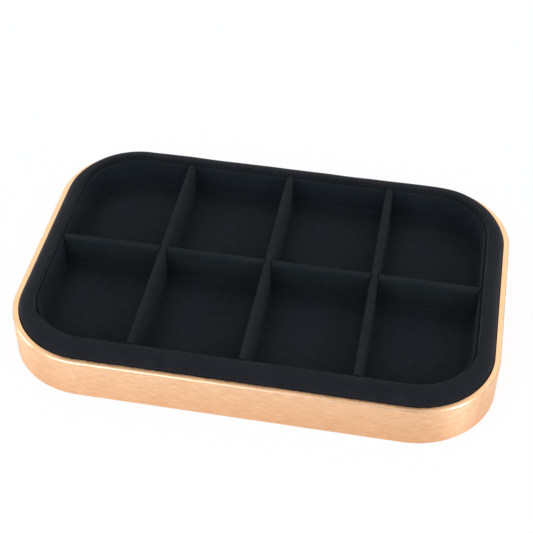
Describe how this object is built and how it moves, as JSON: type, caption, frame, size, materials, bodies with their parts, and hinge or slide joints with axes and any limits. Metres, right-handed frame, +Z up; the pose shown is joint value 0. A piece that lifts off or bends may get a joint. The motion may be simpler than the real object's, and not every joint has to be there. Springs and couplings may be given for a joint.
{
  "type": "jewelry tray",
  "caption": "Rounded rectangular jewelry tray: a brushed metal band round a padded velvet rim, with a lift-out velvet insert that egg-crate dividers part into open compartments.",
  "frame": {"origin": "middle of the underside, on the surface that the tray stands on", "axes": "+X along the tray's length, +Y to the rear, +Z up"},
  "size_m": [0.32, 0.216, 0.0393],
  "materials": {
    "rose_gold_metal": "brushed along the band and anodised rose gold, with a bright chamfer",
    "plain_aluminium": "mill finish",
    "screw_steel": "zinc plated",
    "fibreboard": "raw, sawn edges",
    "greyboard": "raw",
    "foam": "closed-cell foam, matte",
    "black_velvet": "short-pile black velvet with a soft sheen",
    "black_felt": "pressed felt"
  },
  "bodies": {
    "frame": {"metal_band": "rose_gold_metal", "band_tabs": "plain_aluminium", "base_board": "fibreboard", "tab_screws": "screw_steel", "rim_screws": "screw_steel", "bottom_felt": "black_felt", "rim_frame": "fibreboard", "rim_foam": "foam", "rim_cover": "black_velvet"},
    "insert": {"insert_floor_board": "fibreboard", "insert_wall_board": "greyboard", "insert_wall_cover": "black_velvet", "floor_foam": "foam", "floor_lining": "black_velvet"},
    "long_divider": {"long_divider_board": "fibreboard", "long_divider_cover": "black_velvet"},
    "left_divider": {"left_divider_board": "fibreboard", "left_divider_cover": "black_velvet"},
    "middle_divider": {"middle_divider_board": "fibreboard", "middle_divider_cover": "black_velvet"},
    "right_divider": {"right_divider_board": "fibreboard", "right_divider_cover": "black_velvet"}
  },
  "joints": [
    {"name": "insert_lift", "type": "slide", "parent": "frame", "child": "insert", "axis": [0, 0, 1], "range_m": [0, 0.045]},
    {"name": "divider_grid_lift", "type": "slide", "parent": "insert", "child": "long_divider", "axis": [0, 0, 1], "range_m": [0, 0.035]},
    {"name": "left_divider_lift", "type": "slide", "parent": "long_divider", "child": "left_divider", "axis": [0, 0, 1], "range_m": [0, 0.035]},
    {"name": "middle_divider_lift", "type": "slide", "parent": "long_divider", "child": "middle_divider", "axis": [0, 0, 1], "range_m": [0, 0.035]},
    {"name": "right_divider_lift", "type": "slide", "parent": "long_divider", "child": "right_divider", "axis": [0, 0, 1], "range_m": [0, 0.035]}
  ]
}
